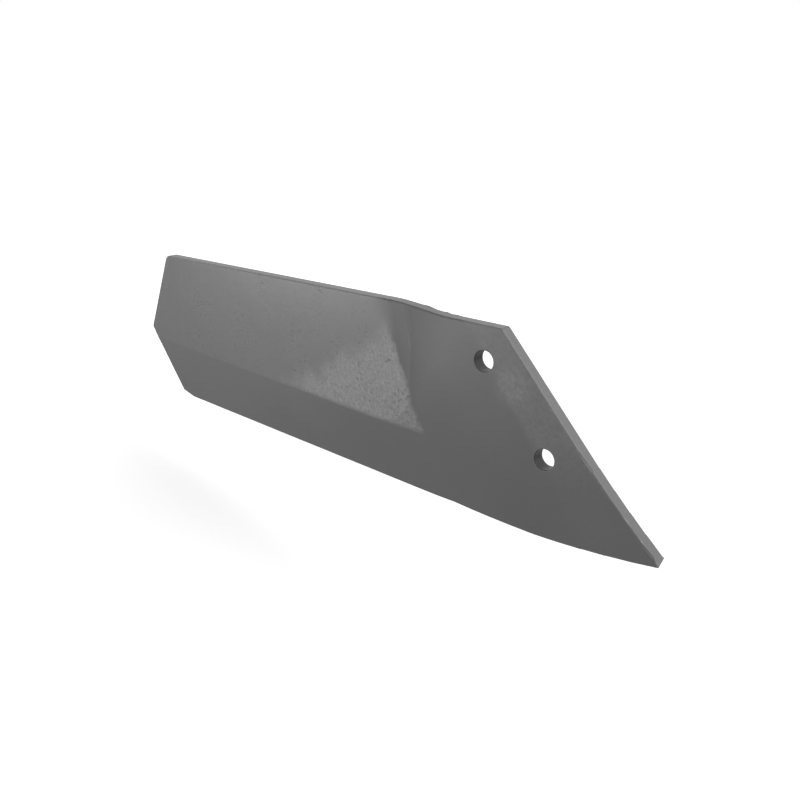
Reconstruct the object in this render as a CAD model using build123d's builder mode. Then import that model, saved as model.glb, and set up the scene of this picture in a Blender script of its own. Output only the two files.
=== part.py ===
"""Side share for a cultivator: the bolt-on wing that cuts the soil beside the share point.

One piece of forged steel plate. It has a short mounting end with two bolt holes, an
oblique bend, and a long wing whose lower front edge is bevelled to a cutting edge.

Frame: X runs along the top edge of the mounting end, towards its tip. Z is up and the
front face looks towards -Y. The seating face, at the back of the mounting end, lies in
Y = 0, and the origin is midway between the two bolt holes on that face. Millimetres.
"""

import os
from math import cos, radians, sin, tan

from build123d import *

# plate and bolt holes
plate_thickness = 10.0
hole_diameter = 13.5
hole_spacing = 70.0
hole_line_lean = 42.5
hole_rim_radius = 0.5

# mounting end: top edge, slanted edge beside the holes, blunt nose and lower edge
mount_top = 48.35
mount_corner_x = -12.9
mount_corner_radius = 2.5
edge_turn_x = 45.0
edge_turn_z = -13.4
tip_x = 104.9
tip_z = -70.4
toe_start_x = 22.0
mount_bottom = -76.2

# blunt nose: the three corners of its end face, and where its lower rear corner is relieved to
nose_upper = Vector(97.6, -plate_thickness, -63.6)
nose_lower = Vector(102.3, -plate_thickness, -70.7)
nose_rear = Vector(101.5, 0, -67.7)
nose_relief = Vector(92, 0, -73)

# oblique bend between the mounting end and the wing
bend_angle = 13.65
bend_lean = 18.9
bend_start_x = -66.0
bend_inner_radius = 40.0

# wing: a strip that climbs towards the bend, with a pointed outer end that turns steeper
# below the point, and a clipped heel
wing_rise = 4.3
wing_taper = 0.2
wing_width = 131.1
wing_bottom_x = -43.0
shoulder_x = -97.0
shoulder_end_x = -50.0
point_x = -443.8
point_z = -45.6
point_upper_slant = 28.6
point_radius = 2.0
end_turn_x = -432.1
end_turn_z = -58.8
end_slant = 30.3
wing_corner_radius = 9.0
heel_height = 4.0
heel_length = 15.0

# softened rims of the plate
rim_radius = 1.2

# bevel on the wing's lower front edge, and the rounding where it runs out
bevel_angle = 9.8
crease_rise = 3.1
crease_x = -117.0
crease_z = -37.4
runout_radius = 260.0

# lengths that only need to reach past the outline
past_mount = 300.0
past_wing = 700.0
past_outline = 400.0

# Directions of the bend line, and the plane square to it that holds the strip's section.
lean = radians(bend_lean)
bend_section = Plane(
    origin=(bend_start_x, 0, 0),
    x_dir=(cos(lean), 0, sin(lean)),
    z_dir=(sin(lean), 0, -cos(lean)),
)

# The wing's front face, past the bend, and the bevel that leans back from its crease.
bend = radians(bend_angle)
outer_radius = bend_inner_radius + plate_thickness
wing_face = Plane(
    origin=bend_section.from_local_coords(
        (-outer_radius * sin(bend), outer_radius * cos(bend) - bend_inner_radius, 0)
    ),
    z_dir=bend_section.from_local_coords((-sin(bend), cos(bend), 0)) - bend_section.origin,
)
crease_start = wing_face.intersect(Axis((crease_x, 0, crease_z), (0, 1, 0)))
crease_end = wing_face.intersect(
    Axis((crease_x + 1, 0, crease_z + tan(radians(crease_rise))), (0, 1, 0))
)
crease = crease_end - crease_start
bevel_face = Plane(
    origin=crease_start,
    x_dir=crease,
    z_dir=wing_face.z_dir.rotate(Axis((0, 0, 0), crease), bevel_angle),
)

# The bevel meets the mounting end's front face along a line, and is blended into it there.
mount_face = Plane.XZ.offset(plate_thickness)
runout = mount_face.intersect(bevel_face)
runout_angle = bevel_face.z_dir.get_angle(mount_face.z_dir)
runout_tangent = runout_radius * tan(radians(runout_angle) / 2)
runout_section = Plane(
    origin=runout.position,
    x_dir=mount_face.z_dir.cross(runout.direction),
    z_dir=runout.direction,
)

# Corners of the front view, anticlockwise from the top of the slanted mounting edge.
top_climb = tan(radians(wing_rise))
bottom_climb = tan(radians(wing_rise + wing_taper))
upper_run = tan(radians(point_upper_slant))
end_run = tan(radians(end_slant))
mount_corner = Vector(mount_corner_x, mount_top)
shoulder_end = Vector(shoulder_end_x, mount_top)
shoulder = Vector(
    shoulder_x,
    mount_bottom + (shoulder_x - wing_bottom_x) * top_climb + wing_width / cos(radians(wing_rise)),
)
point = Vector(point_x, point_z)
end_turn = Vector(end_turn_x, end_turn_z)
wing_bottom = Vector(wing_bottom_x, mount_bottom)
to_top = (shoulder.Y + (point.X - shoulder.X) * top_climb - point.Y) / (1 - upper_run * top_climb)
to_bottom = (end_turn.Y - wing_bottom.Y - (end_turn.X - wing_bottom.X) * bottom_climb) / (
    1 + end_run * bottom_climb
)
wing_corner = point + Vector(upper_run, 1) * to_top
heel = end_turn + Vector(end_run, -1) * to_bottom
heel_top = heel + (end_turn - heel).normalized() * heel_height
heel_end = heel + (wing_bottom - heel).normalized() * heel_length
toe_start = Vector(toe_start_x, mount_bottom)
tip = Vector(tip_x, tip_z)
edge_turn = Vector(edge_turn_x, edge_turn_z)

# The end face of the nose, and the small cut below it. Both look outwards.
nose_face = Plane(
    origin=nose_lower,
    x_dir=nose_upper - nose_lower,
    z_dir=(nose_rear - nose_lower).cross(nose_upper - nose_lower),
)
nose_underside = Plane(
    origin=nose_lower,
    x_dir=nose_rear - nose_lower,
    z_dir=(nose_relief - nose_lower).cross(nose_rear - nose_lower),
)

# The two bolt holes lie on a line that leans like the mounting edge.
hole_lean = radians(hole_line_lean)
hole_offset = Vector(-sin(hole_lean), cos(hole_lean)) * (hole_spacing / 2)

with BuildPart() as side_share:
    # the bent strip, longer and wider than the share
    with BuildSketch(bend_section):
        with BuildLine():
            seat = Line((past_mount, 0), (0, 0))
            inner_arc = JernArc(seat @ 1, seat % 1, bend_inner_radius, bend_angle)
            Line(inner_arc @ 1, inner_arc @ 1 + (inner_arc % 1) * past_wing)
            offset(amount=plate_thickness, side=Side.RIGHT)
        make_face()
    extrude(amount=past_outline, both=True)

    # its outline, seen from the front
    with BuildSketch(Plane.XZ) as front_view:
        with BuildLine():
            Line(mount_corner, shoulder_end)
            Spline(
                shoulder_end,
                shoulder,
                tangents=[(-1, 0), (-1, -top_climb)],
            )
            Polyline(
                shoulder,
                wing_corner,
                point,
                end_turn,
                heel_top,
                heel_end,
                wing_bottom,
                toe_start,
            )
            TangentArc(toe_start, tip, tangent=(1, 0))
            edge = Line(mount_corner, edge_turn)
            TangentArc(edge_turn, tip, tangent=edge % 1)
        make_face()
        fillet(front_view.vertices().sort_by_distance(wing_corner)[0], wing_corner_radius)
        fillet(front_view.vertices().sort_by_distance(point)[0], point_radius)
        fillet(front_view.vertices().sort_by_distance(mount_corner)[0], mount_corner_radius)
    extrude(amount=past_outline, both=True, mode=Mode.INTERSECT)

    # softened rims of the front and rear faces
    sides = side_share.faces().filter_by(lambda face: abs(face.normal_at().Y) < 1e-3)
    rims = sides.edges().filter_by(Axis.Y, reverse=True)
    fillet(rims, rim_radius)

    # the blunt nose
    split(bisect_by=nose_face, keep=Keep.BOTTOM)
    split(bisect_by=nose_underside, keep=Keep.BOTTOM)

    # the bevel, drawn in the section square to its run-out line
    with BuildSketch(runout_section):
        with BuildLine():
            flat = Line((past_outline, 0), (runout_tangent, 0))
            rounding = JernArc(flat @ 1, flat % 1, runout_radius, runout_angle)
            slope = Line(rounding @ 1, rounding @ 1 + (rounding % 1) * past_wing)
            Polyline(
                slope @ 1,
                slope @ 1 + Vector(0, past_wing),
                (past_outline, past_wing),
                flat @ 0,
            )
        make_face()
    extrude(amount=past_wing, both=True, mode=Mode.SUBTRACT)

    # bolt holes, square to the seating face
    with Locations(mount_face):
        with Locations((hole_offset.X, hole_offset.Y), (-hole_offset.X, -hole_offset.Y)):
            Hole(radius=hole_diameter / 2)
    hole_rims = side_share.edges(Select.LAST).filter_by(GeomType.CIRCLE)
    fillet(hole_rims, hole_rim_radius)

side_share.part.label = "side_share"

os.makedirs("parts", exist_ok=True)
export_step(side_share.part, "parts/side_share.step")
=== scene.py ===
"""Looks of the side share: bent forged plate under worn grey paint, on a white floor."""

import logging
from collections.abc import Sequence
from dataclasses import dataclass, field
from enum import Enum
from math import cos, radians, sin

import bmesh
import bpy
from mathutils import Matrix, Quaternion, Vector


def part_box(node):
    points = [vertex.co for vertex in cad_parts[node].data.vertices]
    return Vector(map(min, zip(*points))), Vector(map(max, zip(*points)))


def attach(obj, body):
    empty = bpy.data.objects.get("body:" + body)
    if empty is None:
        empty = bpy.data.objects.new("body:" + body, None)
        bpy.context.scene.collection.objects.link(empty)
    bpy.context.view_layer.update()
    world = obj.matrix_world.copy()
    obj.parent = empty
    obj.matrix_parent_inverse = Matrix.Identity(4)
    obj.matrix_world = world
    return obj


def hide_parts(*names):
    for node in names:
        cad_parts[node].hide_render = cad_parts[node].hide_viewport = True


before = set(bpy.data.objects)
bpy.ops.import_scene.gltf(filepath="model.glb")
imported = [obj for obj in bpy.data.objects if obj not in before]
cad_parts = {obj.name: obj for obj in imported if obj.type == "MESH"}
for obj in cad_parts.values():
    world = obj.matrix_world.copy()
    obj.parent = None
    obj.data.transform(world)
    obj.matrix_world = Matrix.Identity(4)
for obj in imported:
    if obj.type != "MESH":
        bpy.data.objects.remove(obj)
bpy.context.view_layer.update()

Tree = bpy.types.NodeTree
Socket = bpy.types.NodeSocket
Span = tuple[float, float]
Point = tuple[float, float, float]

log = logging.getLogger("side_share")
MM = 0.001
WHITE = (1.0, 1.0, 1.0, 1.0)
# the part of a noise texture's range that its values mostly fill
NOISE_LEVELS = (0.25, 0.75)


def linear(colour: str) -> tuple[float, float, float, float]:
    """Turns an sRGB hex colour into linear RGBA.

    Args:
        colour: six hex digits after a hash, such as "#767676".

    Returns:
        Red, green, blue and an alpha of 1, in linear light.
    """
    channels = [int(colour[i:i + 2], 16) / 255 for i in (1, 3, 5)]
    rgb = [c / 12.92 if c <= 0.04045 else ((c + 0.055) / 1.055) ** 2.4 for c in channels]
    return (*rgb, 1.0)


def add(tree: Tree, kind: str, links: dict | None = None, **settings: object) -> bpy.types.Node:
    """Adds one node to a tree, with its settings and the links into it.

    Args:
        tree: the node tree that gets the node.
        kind: the node's type name.
        links: input name or number to an output socket, or to a constant value.
        settings: attributes of the node itself.

    Returns:
        The new node.
    """
    node = tree.nodes.new(kind)
    for name, value in settings.items():
        setattr(node, name, value)
    for name, value in (links or {}).items():
        if isinstance(value, Socket):
            tree.links.new(value, node.inputs[name])
        else:
            node.inputs[name].default_value = value
    return node


@dataclass(frozen=True)
class ForgePaint:
    """Grey semi-gloss enamel sprayed over forged steel plate.

    Enamel over the forging's oxide skin gives the eye an even, dark, slightly shiny grey. It
    follows every pit and ripple of the steel, and is rubbed paler where the metal is rough or
    stands proud. The pale tone also paints a highlight on the wing and light beyond the bolt
    holes, and darker tones paint shade on the bend, the top edge, the mounting end's rims and the
    bolt holes.
    Levels are the values of a noise texture between which its pattern comes in.
    """

    name: str = "grey_enamel_on_forged_steel"
    shade: str = "#616161"
    tint: str = "#696969"
    # pale rubbed steel, and also a painted highlight on the wing and painted light on the
    # mounting end
    scour_and_painted_light: str = "#8d8d8d"
    # painted shade: the darker tone on the bend, the top edge and the mounting end's rims
    painted_shading: str = "#4e4e4e"
    in_pits: str = "#505050"
    # painted shade on the walls of the bolt holes
    bore_painted_shade: str = "#303030"
    worn_rim: str = "#707070"
    roughness: float = 0.35
    dulling: float = 0.15
    cloud_mm: float = 70.0
    # real orange peel, grain, flecks and pits are about 1 mm wide or less, and too fine to show,
    # so they are drawn coarser
    peel_mm: float = 3.0
    peel_height_mm: float = 0.010
    grain_mm: float = 3.2
    grain_height_mm: float = 0.10
    fleck_mm: float = 2.24
    fleck_levels: Span = (0.3, 0.7)
    faintest_fleck: float = 0.35
    pit_mm: float = 3.0
    pit_levels: Span = (0.55, 0.70)
    pit_depth_mm: float = 0.11
    pit_group_mm: float = 34.0
    pit_group_levels: Span = (0.46, 0.60)
    pits_where_rough: float = 0.45
    streak_mm: Span = (60.0, 1.6)
    streak_height_mm: float = 0.007

    def material(self) -> bpy.types.Material:
        """Builds the material from noise in real millimetres and the plate's own attributes.

        Returns:
            The finished material.
        """
        made = bpy.data.materials.new(self.name)
        made.use_nodes = True
        tree = made.node_tree
        tree.nodes.clear()
        place = add(tree, "ShaderNodeTexCoord").outputs["Object"]
        marks = {name: add(tree, "ShaderNodeAttribute", attribute_name=name).outputs["Fac"]
                 for name in ("scour_and_painted_light", "painted_shade", "pitted", "rim", "bore")}
        pits = self._pits(tree, place, marks["scour_and_painted_light"], marks["pitted"])
        height = self._bumps(tree, place, marks["scour_and_painted_light"], pits)

        # broad clouds in the paint, then painted shade: a darker tone on the bend, the top edge
        # and the mounting end's rims
        cloud = add(tree, "ShaderNodeTexNoise",
                    {"Vector": place, "Scale": 1 / (self.cloud_mm * MM), "Detail": 3.0})
        paint = add(tree, "ShaderNodeMix",
                    {0: cloud.outputs["Fac"], 6: linear(self.shade), 7: linear(self.tint)},
                    data_type="RGBA")
        darker = add(tree, "ShaderNodeMix",
                     {0: marks["painted_shade"], 6: paint.outputs[2], 7: linear(self.painted_shading)},
                     data_type="RGBA")
        # flecked pale steel where it is scoured, and on the worn rims; the same pale tone paints
        # a highlight on the wing and light beyond the bolt holes
        fleck = add(tree, "ShaderNodeTexNoise",
                    {"Vector": place, "Scale": 1 / (self.fleck_mm * MM), "Detail": 2.0})
        flecked = add(tree, "ShaderNodeMapRange",
                      {"Value": fleck.outputs["Fac"], "From Min": self.fleck_levels[0],
                       "From Max": self.fleck_levels[1], "To Min": self.faintest_fleck})
        patch = add(tree, "ShaderNodeMath", {0: marks["scour_and_painted_light"], 1: flecked.outputs[0]},
                    operation="MULTIPLY")
        scour_and_painted_light = add(tree, "ShaderNodeMix",
                      {0: patch.outputs[0], 6: darker.outputs[2], 7: linear(self.scour_and_painted_light)},
                      data_type="RGBA")
        chips = add(tree, "ShaderNodeMath", {0: marks["rim"], 1: flecked.outputs[0]},
                    operation="MULTIPLY")
        worn = add(tree, "ShaderNodeMix",
                   {0: chips.outputs[0], 6: scour_and_painted_light.outputs[2], 7: linear(self.worn_rim)},
                   data_type="RGBA")
        # dark pits, and painted shade on the walls of the bolt holes
        dark = add(tree, "ShaderNodeMix",
                   {0: pits, 6: worn.outputs[2], 7: linear(self.in_pits)}, data_type="RGBA")
        with_bore_shade = add(tree, "ShaderNodeMix",
                    {0: marks["bore"], 6: dark.outputs[2], 7: linear(self.bore_painted_shade)},
                    data_type="RGBA")

        dull = add(tree, "ShaderNodeMath", {0: patch.outputs[0], 1: marks["painted_shade"]},
                   operation="MAXIMUM")
        gloss = add(tree, "ShaderNodeMapRange",
                    {"Value": dull.outputs[0], "To Min": self.roughness,
                     "To Max": self.roughness + self.dulling})
        bump = add(tree, "ShaderNodeBump", {"Height": height, "Distance": MM, "Strength": 1.0})
        shader = add(tree, "ShaderNodeBsdfPrincipled",
                     {"Base Color": with_bore_shade.outputs[2], "Roughness": gloss.outputs[0],
                      "Normal": bump.outputs["Normal"]})
        add(tree, "ShaderNodeOutputMaterial", {"Surface": shader.outputs["BSDF"]})
        return made

    def _pits(self, tree: Tree, place: Socket, rough: Socket, pitted: Socket) -> Socket:
        """Finds small pits left by scale, in loose groups and spread over the rough steel.

        Args:
            tree: the material's node tree.
            place: object coordinates.
            rough: how rough the steel is there, 0 to 1.
            pitted: 1 where the plate may have pits.

        Returns:
            A socket that is 1 in a pit and 0 outside.
        """
        speck = add(tree, "ShaderNodeTexNoise",
                    {"Vector": place, "Scale": 1 / (self.pit_mm * MM), "Detail": 3.0,
                     "Roughness": 0.6})
        hole = add(tree, "ShaderNodeMapRange",
                   {"Value": speck.outputs["Fac"], "From Min": self.pit_levels[0],
                    "From Max": self.pit_levels[1]}, interpolation_type="SMOOTHSTEP")
        group = add(tree, "ShaderNodeTexNoise",
                    {"Vector": place, "Scale": 1 / (self.pit_group_mm * MM), "Detail": 2.0})
        level = add(tree, "ShaderNodeMapRange",
                    {"Value": group.outputs["Fac"], "From Min": self.pit_group_levels[0],
                     "From Max": self.pit_group_levels[1]}, interpolation_type="SMOOTHSTEP")
        some = add(tree, "ShaderNodeMath", {0: rough, 1: self.pits_where_rough},
                   operation="MULTIPLY")
        spread = add(tree, "ShaderNodeMath", {0: level.outputs[0], 1: some.outputs[0]},
                     operation="MAXIMUM")
        there = add(tree, "ShaderNodeMath", {0: spread.outputs[0], 1: pitted},
                    operation="MULTIPLY")
        pit = add(tree, "ShaderNodeMath", {0: hole.outputs[0], 1: there.outputs[0]},
                  operation="MULTIPLY")
        return pit.outputs[0]

    def _bumps(self, tree: Tree, place: Socket, rough: Socket, pits: Socket) -> Socket:
        """Adds up orange peel, drawn streaks, grain on the rough steel, and the pits.

        Args:
            tree: the material's node tree.
            place: object coordinates.
            rough: how rough the steel is there, 0 to 1.
            pits: 1 in a pit and 0 outside.

        Returns:
            A height in millimetres.
        """
        peel = add(tree, "ShaderNodeTexNoise",
                   {"Vector": place, "Scale": 1 / (self.peel_mm * MM), "Detail": 2.0})
        along, across = self.streak_mm
        drawn = add(tree, "ShaderNodeMapping",
                    {"Vector": place, "Scale": (1 / (along * MM), 1 / (across * MM),
                                                1 / (across * MM))})
        streak = add(tree, "ShaderNodeTexNoise", {"Vector": drawn.outputs[0], "Scale": 1.0})
        grain = add(tree, "ShaderNodeTexNoise",
                    {"Vector": place, "Scale": 1 / (self.grain_mm * MM), "Detail": 4.0,
                     "Roughness": 0.6})
        rough_mm = add(tree, "ShaderNodeMath", {0: rough, 1: self.grain_height_mm},
                       operation="MULTIPLY")
        peel_mm = add(tree, "ShaderNodeMath",
                      {0: peel.outputs["Fac"], 1: self.peel_height_mm}, operation="MULTIPLY")
        with_streaks = add(tree, "ShaderNodeMath",
                           {0: streak.outputs["Fac"], 1: self.streak_height_mm,
                            2: peel_mm.outputs[0]}, operation="MULTIPLY_ADD")
        with_grain = add(tree, "ShaderNodeMath",
                         {0: grain.outputs["Fac"], 1: rough_mm.outputs[0],
                          2: with_streaks.outputs[0]}, operation="MULTIPLY_ADD")
        with_pits = add(tree, "ShaderNodeMath",
                        {0: pits, 1: -self.pit_depth_mm, 2: with_grain.outputs[0]},
                        operation="MULTIPLY_ADD")
        return with_pits.outputs[0]


@dataclass
class ForgedRelief:
    """What forging and shearing leave on the plate, as a Geometry Nodes tree.

    A slow ripple of the whole plate, an uneven rim along the top of the bend, rough steel beside
    the bend, and the attributes that say where the material changes, including where a highlight,
    light and shade are painted. Lengths are in metres unless their name ends in _mm, and leans in
    degrees. A pair of values says where a change starts and where it is complete.
    """

    ripple_mm: float = 60.0
    ripple_height_mm: float = 0.10
    grain_mm: float = 6.0
    grain_height_mm: float = 0.10
    seed: float = 4.0

    # parts of the surface, told by one part of its normal
    front_levels: Span = (-0.05, -0.3)
    slanted_edge_levels: Span = (0.5, 0.75)
    top_edge_levels: Span = (0.6, 0.9)
    rim_from_side_levels: Span = (0.15, 0.4)
    rim_from_face_levels: Span = (0.93, 0.8)

    # the wavy rim along the top of the bend, and the rubbed rims of the wing
    rim_wave_mm: float = 16.0
    rim_height_mm: float = 1.0
    wavy_from: Span = (-0.120, -0.085)
    wavy_until: Span = (-0.015, -0.045)
    wavy_above: Span = (0.030, 0.042)
    wing_rims: Span = (-0.100, -0.130)

    # the crease, and the rough steel above it with its painted highlight, under a slanted
    # upper limit
    crease_foot: Vector = field(default_factory=lambda: Vector((-0.1170, 0.0, -0.0374)))
    crease_slope: float = 0.054
    crease_border: float = 0.003
    patch_foot: Vector = field(default_factory=lambda: Vector((-0.2200, 0.0, -0.0420)))
    patch_slope: float = 0.60
    patch_border: Span = (0.012, -0.016)
    patch_wander_mm: float = 14.0
    patch_wander: float = 0.009

    # the ragged line beside the bend, where the painted shade starts, and the bend itself
    ragged_x: float = -0.0860
    ragged_slant: float = 0.47
    ragged_border: float = 0.002
    ragged_blur: float = 0.013
    ragged_blur_heights: Span = (0.020, 0.045)
    fray_mm: float = 9.0
    fray: float = 0.004
    fold_x: float = -0.0790
    fold_slant: float = 0.342
    # how far the painted shade reaches round the bend, and how much lies on the top edge
    shade_before_fold: float = 0.006
    shade_past_fold: float = 0.012
    shade_widening: float = 0.9
    least_past_fold: float = 0.004
    shade_over_crease: Span = (0.010, 0.045)
    shade_on_top: float = 0.4

    # the bolt holes, whose walls get painted shade, painted light beyond their line, lighter
    # towards the top, the steel rubbed by the upper one, and the slanted edge
    hole_spacing: float = 70.0 * MM
    hole_line_lean: float = 42.5
    bore_reach: float = 7.1 * MM
    bore_border: float = 0.3 * MM
    rubbed_and_lit: float = 0.34
    lit_band_from: Vector = field(default_factory=lambda: Vector((-0.0146, 0.0, 0.0160)))
    lit_band_lean: float = 38.1
    lit_band_border: Span = (-2 * MM, 5 * MM)
    lit_band_above: Span = (-0.045, -0.005)
    lit_band_below: float = 0.15
    smudge: Vector = field(default_factory=lambda: Vector((-3.0, -10.0, 14.5)) * MM)
    smudge_border: Span = (17 * MM, 5 * MM)
    sheared: float = 0.22

    def apply(self, plate: bpy.types.Object, finish: bpy.types.Material) -> None:
        """Runs the tree on the plate and keeps the result as its plain mesh.

        Args:
            plate: the object to work on.
            finish: the material that the tree sets.
        """
        tree = bpy.data.node_groups.new("forged_relief", "GeometryNodeTree")
        sockets = self._sockets(tree)
        self._nodes(tree)
        modifier = plate.modifiers.new("forged_relief", "NODES")
        modifier.node_group = tree
        values = {"Ripple Height": self.ripple_height_mm, "Rim Height": self.rim_height_mm,
                  "Grain Height": self.grain_height_mm, "Seed": self.seed, "Finish": finish}
        for name, value in values.items():
            modifier[sockets[name]] = value
        flats = plate.modifiers.new("flat_faces_stay_flat", "WEIGHTED_NORMAL")
        flats.keep_sharp = True
        graph = bpy.context.evaluated_depsgraph_get()
        done = bpy.data.meshes.new_from_object(plate.evaluated_get(graph))
        plate.modifiers.clear()
        plate.data = done

    def _sockets(self, tree: Tree) -> dict[str, str]:
        """Args:
            tree: the Geometry Nodes tree.

        Returns:
            The identifier of each input, by name.
        """
        kinds = {"Plate": "NodeSocketGeometry", "Ripple Height": "NodeSocketFloat",
                 "Rim Height": "NodeSocketFloat", "Grain Height": "NodeSocketFloat",
                 "Seed": "NodeSocketFloat", "Finish": "NodeSocketMaterial"}
        found = {}
        for name, kind in kinds.items():
            socket = tree.interface.new_socket(name=name, in_out="INPUT", socket_type=kind)
            found[name] = socket.identifier
        tree.interface.new_socket(name="Plate", in_out="OUTPUT",
                                  socket_type="NodeSocketGeometry")
        return found

    def _nodes(self, tree: Tree) -> None:
        """Links the relief together.

        Args:
            tree: the Geometry Nodes tree, with its inputs declared.
        """
        given = add(tree, "NodeGroupInput").outputs
        place = add(tree, "GeometryNodeInputPosition").outputs[0]
        normal = add(tree, "GeometryNodeInputNormal").outputs[0]
        at = add(tree, "ShaderNodeSeparateXYZ", {0: place}).outputs
        facing = add(tree, "ShaderNodeSeparateXYZ", {0: normal}).outputs
        front = add(tree, "ShaderNodeMapRange",
                    {"Value": facing[1], "From Min": self.front_levels[0],
                     "From Max": self.front_levels[1]}).outputs[0]
        rim = self._rim(tree, facing[1])
        frayed = self._frayed(tree, place, at, given["Seed"])
        over_crease = self._over_crease(tree, at)
        upper = self._upper_wing(tree, frayed, over_crease)
        scour_and_painted_light = self._scour_and_painted_light(tree, place, at, given["Seed"], upper, front, facing[0])

        # slow ripple everywhere, and grain where the steel is scoured, both along Y only, so
        # that the ripple moves the front and the back nearly together
        ripple = self._noise(tree, place, self.ripple_mm, given["Seed"], given["Ripple Height"])
        grain = self._noise(tree, place, self.grain_mm, given["Seed"], given["Grain Height"])
        swell = add(tree, "ShaderNodeMath", {0: grain, 1: scour_and_painted_light, 2: ripple},
                    operation="MULTIPLY_ADD")
        to_front = add(tree, "ShaderNodeMath", {0: swell.outputs[0], 1: -MM},
                       operation="MULTIPLY")
        rippled = add(tree, "ShaderNodeCombineXYZ", {1: to_front.outputs[0]})
        moved = add(tree, "ShaderNodeVectorMath",
                    {0: self._rim_waves(tree, place, at, given, rim, normal),
                     1: rippled.outputs[0]}, operation="ADD")

        # only the wing's rims are rubbed pale; those of the mounting end get painted shade
        on_wing = add(tree, "ShaderNodeMapRange",
                      {"Value": at[0], "From Min": self.wing_rims[0],
                       "From Max": self.wing_rims[1]})
        rubbed = add(tree, "ShaderNodeMath", {0: rim, 1: on_wing.outputs[0]},
                     operation="MULTIPLY").outputs[0]
        rims_off_wing = add(tree, "ShaderNodeMath", {0: rim, 1: rubbed},
                       operation="SUBTRACT").outputs[0]
        # painted shade on the bend and the top edge, joined by that on the mounting end's rims
        painted_shading = self._painted_shade_marks(tree, at, frayed, over_crease, front, facing[2])
        painted_shade = add(tree, "ShaderNodeMath", {0: painted_shading, 1: rims_off_wing},
                     operation="MAXIMUM").outputs[0]

        shell = given["Plate"]
        marks = {"rim": rubbed, "scour_and_painted_light": scour_and_painted_light, "pitted": upper, "painted_shade": painted_shade,
                 "bore": self._bore(tree, place)}
        for name, value in marks.items():
            shell = add(tree, "GeometryNodeStoreNamedAttribute",
                        {"Geometry": shell, "Name": name, "Value": value},
                        data_type="FLOAT", domain="POINT").outputs[0]
        shell = add(tree, "GeometryNodeSetPosition",
                    {"Geometry": shell, "Offset": moved.outputs[0]}).outputs[0]
        shell = add(tree, "GeometryNodeRealizeInstances", {"Geometry": shell}).outputs[0]
        shell = add(tree, "GeometryNodeSetMaterial",
                    {"Geometry": shell, "Material": given["Finish"]}).outputs[0]
        add(tree, "NodeGroupOutput", {0: shell})

    def _noise(self, tree: Tree, place: Socket, width_mm: float, seed: Socket,
               height: Socket) -> Socket:
        """Smooth noise about zero.

        Args:
            tree: the Geometry Nodes tree.
            place: where each point is.
            width_mm: how far apart the bumps are.
            seed: picks the pattern.
            height: how high the bumps are.

        Returns:
            A height between plus and minus the one given.
        """
        noise = add(tree, "ShaderNodeTexNoise",
                    {"Vector": place, "W": seed, "Scale": 1 / (width_mm * MM), "Detail": 2.0},
                    noise_dimensions="4D")
        centred = add(tree, "ShaderNodeMapRange",
                      {"Value": noise.outputs[0], "From Min": NOISE_LEVELS[0],
                       "From Max": NOISE_LEVELS[1], "To Min": -1.0})
        return add(tree, "ShaderNodeMath", {0: centred.outputs[0], 1: height},
                   operation="MULTIPLY").outputs[0]

    def _rim(self, tree: Tree, facing: Socket) -> Socket:
        """Finds the softened rims, which look neither to the front or back nor aside.

        Args:
            tree: the Geometry Nodes tree.
            facing: the Y part of the surface's normal.

        Returns:
            A socket that is 1 on a rim and 0 on the faces.
        """
        turned = add(tree, "ShaderNodeMath", {0: facing}, operation="ABSOLUTE").outputs[0]
        off_side = add(tree, "ShaderNodeMapRange",
                       {"Value": turned, "From Min": self.rim_from_side_levels[0],
                        "From Max": self.rim_from_side_levels[1]})
        off_face = add(tree, "ShaderNodeMapRange",
                       {"Value": turned, "From Min": self.rim_from_face_levels[0],
                        "From Max": self.rim_from_face_levels[1]})
        return add(tree, "ShaderNodeMath", {0: off_side.outputs[0], 1: off_face.outputs[0]},
                   operation="MULTIPLY").outputs[0]

    def _rim_waves(self, tree: Tree, place: Socket, at: Sequence[Socket],
                   given: Sequence[Socket], rim: Socket, normal: Socket) -> Socket:
        """Makes the rim uneven along the top of the bend.

        Args:
            tree: the Geometry Nodes tree.
            place: where each point is.
            at: the same, as three sockets.
            given: the tree's inputs.
            rim: 1 on a rim, 0 on the faces.
            normal: which way the surface looks.

        Returns:
            How far each point moves, as a vector in metres.
        """
        near = add(tree, "ShaderNodeMapRange",
                   {"Value": at[0], "From Min": self.wavy_from[0],
                    "From Max": self.wavy_from[1]}, interpolation_type="SMOOTHSTEP")
        past = add(tree, "ShaderNodeMapRange",
                   {"Value": at[0], "From Min": self.wavy_until[0],
                    "From Max": self.wavy_until[1]}, interpolation_type="SMOOTHSTEP")
        high = add(tree, "ShaderNodeMapRange",
                   {"Value": at[2], "From Min": self.wavy_above[0],
                    "From Max": self.wavy_above[1]})
        along = add(tree, "ShaderNodeMath", {0: near.outputs[0], 1: past.outputs[0]},
                    operation="MULTIPLY")
        at_bend = add(tree, "ShaderNodeMath", {0: along.outputs[0], 1: high.outputs[0]},
                      operation="MULTIPLY")
        uneven = add(tree, "ShaderNodeMath", {0: at_bend.outputs[0], 1: rim},
                     operation="MULTIPLY")
        wave = self._noise(tree, place, self.rim_wave_mm, given["Seed"], given["Rim Height"])
        height = add(tree, "ShaderNodeMath", {0: wave, 1: uneven.outputs[0]},
                     operation="MULTIPLY")
        metres = add(tree, "ShaderNodeMath", {0: height.outputs[0], 1: MM},
                     operation="MULTIPLY")
        return add(tree, "ShaderNodeVectorMath", {0: normal, "Scale": metres.outputs[0]},
                   operation="SCALE").outputs[0]

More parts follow.
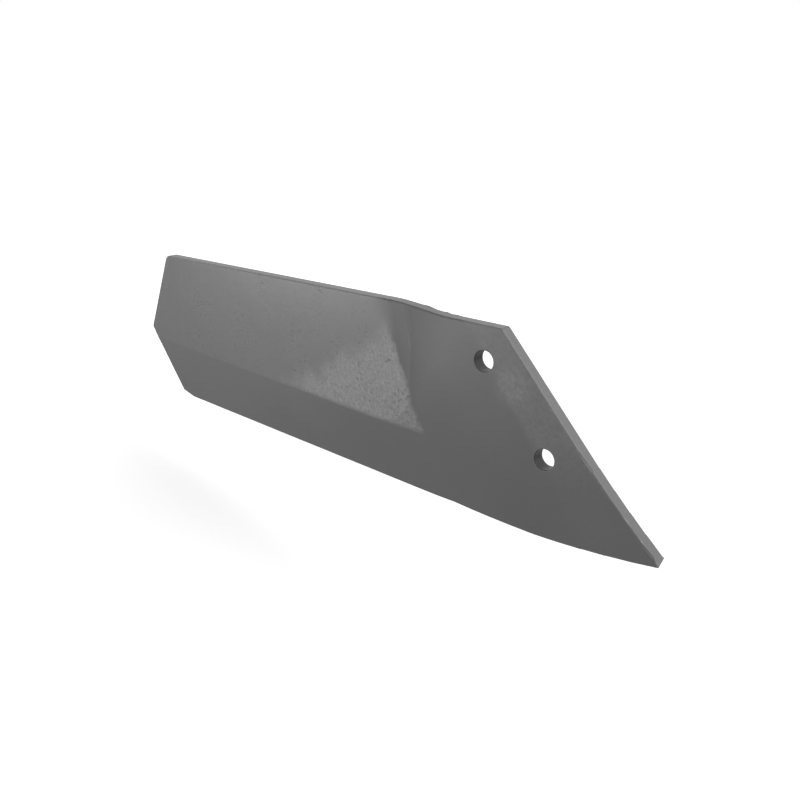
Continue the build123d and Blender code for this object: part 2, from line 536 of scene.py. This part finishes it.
    def _bore(self, tree: Tree, place: Socket) -> Socket:
        """Marks the walls of the two bolt holes, which get painted shade.

        Args:
            tree: the Geometry Nodes tree.
            place: where each point is.

        Returns:
            A socket that is 1 in a bolt hole and 0 elsewhere.
        """
        lean = radians(self.hole_line_lean)
        offset = Vector((-sin(lean), 0.0, cos(lean))) * (self.hole_spacing / 2)
        flat = add(tree, "ShaderNodeVectorMath", {0: place, 1: Vector((1, 0, 1))},
                   operation="MULTIPLY")
        gaps = [add(tree, "ShaderNodeVectorMath", {0: flat.outputs[0], 1: centre},
                    operation="DISTANCE").outputs["Value"]
                for centre in (offset, -offset)]
        nearest = add(tree, "ShaderNodeMath", {0: gaps[0], 1: gaps[1]}, operation="MINIMUM")
        return add(tree, "ShaderNodeMapRange",
                   {"Value": nearest.outputs[0], "From Min": self.bore_reach,
                    "From Max": self.bore_reach - self.bore_border}).outputs[0]

    def _frayed(self, tree: Tree, place: Socket, at: Sequence[Socket], seed: Socket) -> Socket:
        """Measures to the right of the ragged line beside the bend.

        Args:
            tree: the Geometry Nodes tree.
            place: where each point is.
            at: the same, as three sockets.
            seed: picks the pattern.

        Returns:
            A distance in metres, below zero to the left of the line.
        """
        wander = add(tree, "ShaderNodeTexNoise",
                     {"Vector": place, "W": seed, "Scale": 1 / (self.fray_mm * MM),
                      "Detail": 4.0, "Roughness": 0.65}, noise_dimensions="4D")
        shift = add(tree, "ShaderNodeMapRange",
                    {"Value": wander.outputs[0], "From Min": NOISE_LEVELS[0],
                     "From Max": NOISE_LEVELS[1], "To Min": -self.fray - self.ragged_x,
                     "To Max": self.fray - self.ragged_x})
        leaning = add(tree, "ShaderNodeMath", {0: at[2], 1: self.ragged_slant, 2: at[0]},
                      operation="MULTIPLY_ADD")
        return add(tree, "ShaderNodeMath", {0: shift.outputs[0], 1: leaning.outputs[0]},
                   operation="ADD").outputs[0]

    def _over_crease(self, tree: Tree, at: Sequence[Socket]) -> Socket:
        """Measures how high each point is above the line of the crease.

        Args:
            tree: the Geometry Nodes tree.
            at: where each point is, as three sockets.

        Returns:
            A height in metres.
        """
        crease_at = self.crease_foot.z - self.crease_foot.x * self.crease_slope
        levelled = add(tree, "ShaderNodeMath", {0: at[0], 1: -self.crease_slope, 2: at[2]},
                       operation="MULTIPLY_ADD")
        return add(tree, "ShaderNodeMath", {0: levelled.outputs[0], 1: crease_at},
                   operation="SUBTRACT").outputs[0]

    def _upper_wing(self, tree: Tree, frayed: Socket, over_crease: Socket) -> Socket:
        """Marks the wing left of the ragged line and above the crease, front and back.

        Args:
            tree: the Geometry Nodes tree.
            frayed: how far each point is to the right of the ragged line.
            over_crease: how high it is above the crease.

        Returns:
            A socket that is 1 there and 0 elsewhere.
        """
        left = add(tree, "ShaderNodeMapRange",
                   {"Value": frayed, "From Min": self.ragged_border,
                    "From Max": -self.ragged_border})
        above = add(tree, "ShaderNodeMapRange",
                    {"Value": over_crease, "From Min": 0.0, "From Max": self.crease_border})
        return add(tree, "ShaderNodeMath", {0: left.outputs[0], 1: above.outputs[0]},
                   operation="MULTIPLY").outputs[0]

    def _scour_and_painted_light(self, tree: Tree, place: Socket, at: Sequence[Socket], seed: Socket,
                 upper: Socket, front: Socket, aside: Socket) -> Socket:
        """Marks the rough steel of the wing with its painted highlight, the mounting end's
        painted light and rubbed steel, and the slanted edge.

        Args:
            tree: the Geometry Nodes tree.
            place: where each point is.
            at: the same, as three sockets.
            seed: picks the pattern.
            upper: 1 on the wing above the crease.
            front: 1 on the front, 0 elsewhere.
            aside: the X part of the surface's normal.

        Returns:
            How rough the steel is, and how strong the painted highlight and light are, 0 to 1.
        """
        wander = add(tree, "ShaderNodeTexNoise",
                     {"Vector": place, "W": seed, "Scale": 1 / (self.patch_wander_mm * MM),
                      "Detail": 3.0}, noise_dimensions="4D")
        shift = add(tree, "ShaderNodeMapRange",
                    {"Value": wander.outputs[0], "From Min": NOISE_LEVELS[0],
                     "From Max": NOISE_LEVELS[1], "To Min": -self.patch_wander,
                     "To Max": self.patch_wander})
        limit = add(tree, "ShaderNodeMath", {0: at[0], 1: -self.patch_slope, 2: at[2]},
                    operation="MULTIPLY_ADD")
        ragged = add(tree, "ShaderNodeMath", {0: limit.outputs[0], 1: shift.outputs[0]},
                     operation="ADD")
        limit_at = self.patch_foot.z - self.patch_foot.x * self.patch_slope
        below = add(tree, "ShaderNodeMapRange",
                    {"Value": ragged.outputs[0], "From Min": limit_at + self.patch_border[0],
                     "From Max": limit_at + self.patch_border[1]},
                    interpolation_type="SMOOTHSTEP")
        patch = add(tree, "ShaderNodeMath", {0: upper, 1: below.outputs[0]},
                    operation="MULTIPLY")
        either = add(tree, "ShaderNodeMath",
                     {0: patch.outputs[0], 1: self._rubbed_and_lit(tree, place, at[2])},
                     operation="MAXIMUM")
        sheared = add(tree, "ShaderNodeMapRange",
                      {"Value": aside, "From Min": self.slanted_edge_levels[0],
                       "From Max": self.slanted_edge_levels[1], "To Max": self.sheared})
        return add(tree, "ShaderNodeMath",
                   {0: either.outputs[0], 1: front, 2: sheared.outputs[0]},
                   operation="MULTIPLY_ADD").outputs[0]

    def _rubbed_and_lit(self, tree: Tree, place: Socket, height: Socket) -> Socket:
        """Marks painted light beyond the line of the bolt holes, lighter towards the top, and the
        rubbed steel by the upper hole.

        Args:
            tree: the Geometry Nodes tree.
            place: where each point is.
            height: the Z of each point.

        Returns:
            How strong the painted light and the rubbed steel are, 0 to 1.
        """
        lean = radians(self.lit_band_lean)
        from_line = add(tree, "ShaderNodeVectorMath", {0: place, 1: self.lit_band_from},
                        operation="SUBTRACT")
        across = add(tree, "ShaderNodeVectorMath",
                     {0: from_line.outputs[0], 1: Vector((cos(lean), 0.0, sin(lean)))},
                     operation="DOT_PRODUCT")
        beyond = add(tree, "ShaderNodeMapRange",
                     {"Value": across.outputs["Value"], "From Min": self.lit_band_border[0],
                      "From Max": self.lit_band_border[1], "To Max": self.rubbed_and_lit},
                     interpolation_type="SMOOTHSTEP")
        gap = add(tree, "ShaderNodeVectorMath", {0: place, 1: self.smudge},
                  operation="DISTANCE")
        by_hole = add(tree, "ShaderNodeMapRange",
                      {"Value": gap.outputs["Value"], "From Min": self.smudge_border[0],
                       "From Max": self.smudge_border[1], "To Max": self.rubbed_and_lit},
                      interpolation_type="SMOOTHSTEP")
        above = add(tree, "ShaderNodeMapRange",
                    {"Value": height, "From Min": self.lit_band_above[0],
                     "From Max": self.lit_band_above[1], "To Min": self.lit_band_below},
                    interpolation_type="SMOOTHSTEP")
        return add(tree, "ShaderNodeMath",
                   {0: beyond.outputs[0], 1: above.outputs[0], 2: by_hole.outputs[0]},
                   operation="MULTIPLY_ADD").outputs[0]

    def _painted_shade_marks(self, tree: Tree, at: Sequence[Socket], frayed: Socket, over_crease: Socket,
                front: Socket, upwards: Socket) -> Socket:
        """Marks painted shade on the bend, and a little on the sheared top edge.

        Args:
            tree: the Geometry Nodes tree.
            at: where each point is, as three sockets.
            frayed: how far each point is to the right of the ragged line.
            over_crease: how high it is above the crease.
            front: 1 on the front, 0 elsewhere.
            upwards: the Z part of the surface's normal.

        Returns:
            How strong the painted shade is, 0 to 1.
        """
        # it starts at the ragged line, sharply low down and blurred towards the top edge
        blur = add(tree, "ShaderNodeMapRange",
                   {"Value": at[2], "From Min": self.ragged_blur_heights[0],
                    "From Max": self.ragged_blur_heights[1], "To Min": self.ragged_border,
                    "To Max": self.ragged_blur}).outputs[0]
        before = add(tree, "ShaderNodeMath", {0: blur, 1: -1.0}, operation="MULTIPLY")
        starts = add(tree, "ShaderNodeMapRange",
                     {"Value": frayed, "From Min": before.outputs[0], "From Max": blur})
        # it fades out past the bend, further out the higher it is
        across = add(tree, "ShaderNodeMath", {0: at[2], 1: self.fold_slant, 2: at[0]},
                     operation="MULTIPLY_ADD")
        widening = add(tree, "ShaderNodeMath",
                       {0: at[2], 1: self.shade_widening,
                        2: self.fold_x + self.shade_past_fold}, operation="MULTIPLY_ADD")
        fade_end = add(tree, "ShaderNodeMath",
                       {0: widening.outputs[0], 1: self.fold_x + self.least_past_fold},
                       operation="MAXIMUM")
        fades = add(tree, "ShaderNodeMapRange",
                    {"Value": across.outputs[0], "From Min": self.fold_x - self.shade_before_fold,
                     "From Max": fade_end.outputs[0], "To Min": 1.0, "To Max": 0.0},
                    interpolation_type="SMOOTHSTEP")
        above = add(tree, "ShaderNodeMapRange",
                    {"Value": over_crease, "From Min": self.shade_over_crease[0],
                     "From Max": self.shade_over_crease[1]})
        strip = add(tree, "ShaderNodeMath", {0: starts.outputs[0], 1: fades.outputs[0]},
                    operation="MULTIPLY")
        raised = add(tree, "ShaderNodeMath", {0: strip.outputs[0], 1: above.outputs[0]},
                     operation="MULTIPLY")
        on_bend = add(tree, "ShaderNodeMath", {0: raised.outputs[0], 1: front},
                      operation="MULTIPLY")
        on_top = add(tree, "ShaderNodeMapRange",
                     {"Value": upwards, "From Min": self.top_edge_levels[0],
                      "From Max": self.top_edge_levels[1], "To Max": self.shade_on_top})
        return add(tree, "ShaderNodeMath", {0: on_bend.outputs[0], 1: on_top.outputs[0]},
                   operation="MAXIMUM").outputs[0]


@dataclass
class SharePlate:
    """The share itself: one bent plate, cut fine enough to carry its relief.

    The wing and the mounting end each have a flat front face, given by a point on it and the way
    it looks. Depths are those of the cuts below both faces. Lengths are in metres, and the angle
    above which an edge is sharp is in degrees.
    """

    node: str = "side_share"
    body: str = "root"
    grid: float = 2.0 * MM
    weld: float = 2e-6
    wing_point: Vector = field(default_factory=lambda: Vector((-77.163, -8.588, -3.822)) * MM)
    wing_normal: Vector = field(default_factory=lambda: Vector((-0.2230, -0.9718, -0.0764)))
    mount_point: Vector = field(default_factory=lambda: Vector((0.0, -10.0, 0.0)) * MM)
    mount_normal: Vector = field(default_factory=lambda: Vector((0.0, -1.0, 0.0)))
    depths: tuple[float, ...] = (1.6 * MM, 3.9 * MM, 6.1 * MM, 8.4 * MM)
    sharp_angle: float = 34.0
    finish: ForgePaint = field(default_factory=ForgePaint)
    relief: ForgedRelief = field(default_factory=ForgedRelief)

    def build(self) -> bpy.types.Object:
        """Makes the dressed plate, which stands for the CAD node.

        Returns:
            The plate's object.
        """
        plate = bpy.data.objects.new("forged_share", self._fine_mesh())
        bpy.context.scene.collection.objects.link(plate)
        self.relief.apply(plate, self.finish.material())
        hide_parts(self.node)
        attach(plate, self.body)
        return plate

    def _fine_mesh(self) -> bpy.types.Mesh:
        """Merges a copy of the CAD mesh and cuts it into small faces.

        Returns:
            The fine mesh, smooth over its curves and sharp at its corners.
        """
        cut = bmesh.new()
        cut.from_mesh(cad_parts[self.node].data)
        bmesh.ops.remove_doubles(cut, verts=cut.verts, dist=self.weld)
        for place, normal in self._planes():
            bmesh.ops.bisect_plane(
                cut, geom=cut.verts[:] + cut.edges[:] + cut.faces[:],
                plane_co=place, plane_no=normal, dist=self.weld)
        bmesh.ops.triangulate(cut, faces=cut.faces[:])
        for face in cut.faces:
            face.smooth = True
        for edge in cut.edges:
            edge.smooth = edge.calc_face_angle(0.0) < radians(self.sharp_angle)
        mesh = bpy.data.meshes.new("forged_share")
        cut.to_mesh(mesh)
        cut.free()
        return mesh

    def _planes(self) -> list[tuple[Vector, Vector]]:
        """Lists the planes that cut the plate: some through its thickness, then a fine grid.

        Returns:
            A point and a normal for each plane.
        """
        planes = []
        for depth in self.depths:
            planes.append((self.wing_point - self.wing_normal * depth, self.wing_normal))
            planes.append((self.mount_point - self.mount_normal * depth, self.mount_normal))
        low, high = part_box(self.node)
        for axis in (Vector((1, 0, 0)), Vector((0, 0, 1))):
            start, end = axis.dot(Vector(low)), axis.dot(Vector(high))
            for step in range(1, int((end - start) / self.grid) + 1):
                planes.append((axis * (start + step * self.grid), axis))
        return planes


@dataclass(frozen=True)
class SoftBox:
    """One soft box: its place, aim, width and height in metres, and its power in watts."""

    place: Point
    aim: Point
    width: float
    height: float
    power: float


class Lamp(Enum):
    """The studio's soft boxes. Two low strips light the front, and the right one the edges."""

    LOW_LEFT = SoftBox((-0.841, -0.440, -0.110), (-0.12, 0.01, -0.03), 0.5, 0.1, 1.6)
    LOW_FRONT = SoftBox((-0.608, -0.686, -0.110), (-0.12, 0.01, -0.03), 0.5, 0.1, 0.95)
    RIGHT = SoftBox((0.836, 0.030, 0.816), (-0.16, 0.03, -0.02), 0.5, 0.5, 9.8)
    BEHIND = SoftBox((-0.485, 1.243, 0.316), (-0.16, 0.03, -0.02), 0.5, 0.5, 0.2)


@dataclass
class Studio:
    """White floor and room, soft boxes and camera. Lengths are in metres, angles in degrees."""

    floor_z: float = -0.165
    floor_half: float = 1.6
    floor_colour: str = "#cbcbcb"
    near_glow: float = 0.63
    glow_distances: Span = (0.35, 0.9)
    pool_x: float = -0.50
    pool_y: float = -0.24
    pool_radii: Span = (0.32, 0.08)
    pool_strength: float = 0.6
    ambient: float = 0.45
    camera_place: Vector = field(default_factory=lambda: Vector((0.2860, -0.5108, 0.1933)))
    azimuth: float = 36.58
    elevation: float = 18.36
    roll: float = 2.57
    lens_mm: float = 45.0
    sensor_mm: float = 36.0

    def build(self) -> None:
        """Makes the floor, the world, the lamps and the camera."""
        self._floor()
        self._world()
        for lamp in Lamp:
            self._lamp(lamp)
        self._camera()
        bpy.context.scene.view_settings.view_transform = "Standard"

    def _floor(self) -> None:
        """Lays the pale floor."""
        mesh = bpy.data.meshes.new("floor")
        half, level = self.floor_half, self.floor_z
        corners = [(-half, -half, level), (half, -half, level),
                   (half, half, level), (-half, half, level)]
        mesh.from_pydata(corners, [], [(0, 1, 2, 3)])
        mesh.materials.append(self._paper())
        floor = bpy.data.objects.new("floor", mesh)
        bpy.context.scene.collection.objects.link(floor)

    def _paper(self) -> bpy.types.Material:
        """Matt photographic paper: even and white to the camera, with a faint soft shadow.

        Returns:
            The finished material.
        """
        made = bpy.data.materials.new("matt_white_paper")
        made.use_nodes = True
        tree = made.node_tree
        tree.nodes.clear()
        path = add(tree, "ShaderNodeLightPath").outputs
        place = add(tree, "ShaderNodeTexCoord").outputs["Object"]
        # lifted to white, less under the share, so that its shadow stays
        away = add(tree, "ShaderNodeVectorMath", {0: place}, operation="LENGTH")
        glow = add(tree, "ShaderNodeMapRange",
                   {"Value": away.outputs["Value"], "From Min": self.glow_distances[0],
                    "From Max": self.glow_distances[1], "To Min": self.near_glow},
                   interpolation_type="SMOOTHSTEP")
        # a bright pool of light on the paper, which the wing's paint reflects
        centre = Vector((self.pool_x, self.pool_y, self.floor_z))
        from_pool = add(tree, "ShaderNodeVectorMath", {0: place, 1: centre},
                        operation="DISTANCE")
        mirrored = add(tree, "ShaderNodeMapRange",
                       {"Value": from_pool.outputs["Value"], "From Min": self.pool_radii[0],
                        "From Max": self.pool_radii[1], "To Max": self.pool_strength},
                       interpolation_type="SMOOTHSTEP")
        to_lens = add(tree, "ShaderNodeMath",
                      {0: glow.outputs[0], 1: path["Is Camera Ray"]}, operation="MULTIPLY")
        lit = add(tree, "ShaderNodeMath",
                  {0: mirrored.outputs[0], 1: path["Is Glossy Ray"], 2: to_lens.outputs[0]},
                  operation="MULTIPLY_ADD")
        paper = add(tree, "ShaderNodeBsdfDiffuse", {"Color": linear(self.floor_colour)})
        lift = add(tree, "ShaderNodeEmission", {"Color": WHITE, "Strength": lit.outputs[0]})
        both = add(tree, "ShaderNodeAddShader", {0: paper.outputs[0], 1: lift.outputs[0]})
        add(tree, "ShaderNodeOutputMaterial", {"Surface": both.outputs[0]})
        return made

    def _world(self) -> None:
        """White to the camera and in reflections, and a plain level for the light."""
        world = bpy.data.worlds.new("white_room")
        world.use_nodes = True
        tree = world.node_tree
        tree.nodes.clear()
        path = add(tree, "ShaderNodeLightPath").outputs
        shiny = add(tree, "ShaderNodeMath",
                    {0: path["Is Glossy Ray"], 1: path["Is Transmission Ray"]},
                    operation="MAXIMUM")
        direct = add(tree, "ShaderNodeMath",
                     {0: path["Is Camera Ray"], 1: shiny.outputs[0]}, operation="MAXIMUM")
        plain = add(tree, "ShaderNodeBackground", {"Color": WHITE, "Strength": self.ambient})
        white = add(tree, "ShaderNodeBackground", {"Color": WHITE, "Strength": 1.0})
        mix = add(tree, "ShaderNodeMixShader",
                  {"Fac": direct.outputs[0], 1: plain.outputs[0], 2: white.outputs[0]})
        add(tree, "ShaderNodeOutputWorld", {"Surface": mix.outputs[0]})
        bpy.context.scene.world = world

    def _lamp(self, lamp: Lamp) -> None:
        """Hangs one soft box.

        Args:
            lamp: the soft box to hang.
        """
        box = lamp.value
        data = bpy.data.lights.new(lamp.name.lower(), "AREA")
        data.shape = "RECTANGLE"
        data.size = box.width
        data.size_y = box.height
        data.energy = box.power
        hung = bpy.data.objects.new(lamp.name.lower(), data)
        hung.location = box.place
        towards = Vector(box.aim) - Vector(box.place)
        hung.rotation_euler = towards.to_track_quat("-Z", "Y").to_euler()
        hung.visible_camera = False
        bpy.context.scene.collection.objects.link(hung)

    def _camera(self) -> None:
        """Sets up the camera at the photograph's viewing angle."""
        data = bpy.data.cameras.new("camera")
        data.sensor_width = self.sensor_mm
        data.lens = self.lens_mm
        camera = bpy.data.objects.new("camera", data)
        camera.rotation_mode = "QUATERNION"
        camera.rotation_quaternion = (
            Quaternion((0, 0, 1), radians(self.azimuth))
            @ Quaternion((1, 0, 0), radians(90 - self.elevation))
            @ Quaternion((0, 0, 1), radians(self.roll)))
        camera.location = self.camera_place
        bpy.context.scene.collection.objects.link(camera)
        bpy.context.scene.camera = camera


def main() -> None:
    """Builds the share and the studio, and reports each."""
    logging.basicConfig(level=logging.INFO, format="%(name)s: %(message)s")
    plate = SharePlate().build()
    log.info("%s: %d faces", plate.name, len(plate.data.polygons))
    Studio().build()
    log.info("studio: %d lamps", len(Lamp))


if __name__ == "__main__":
    main()
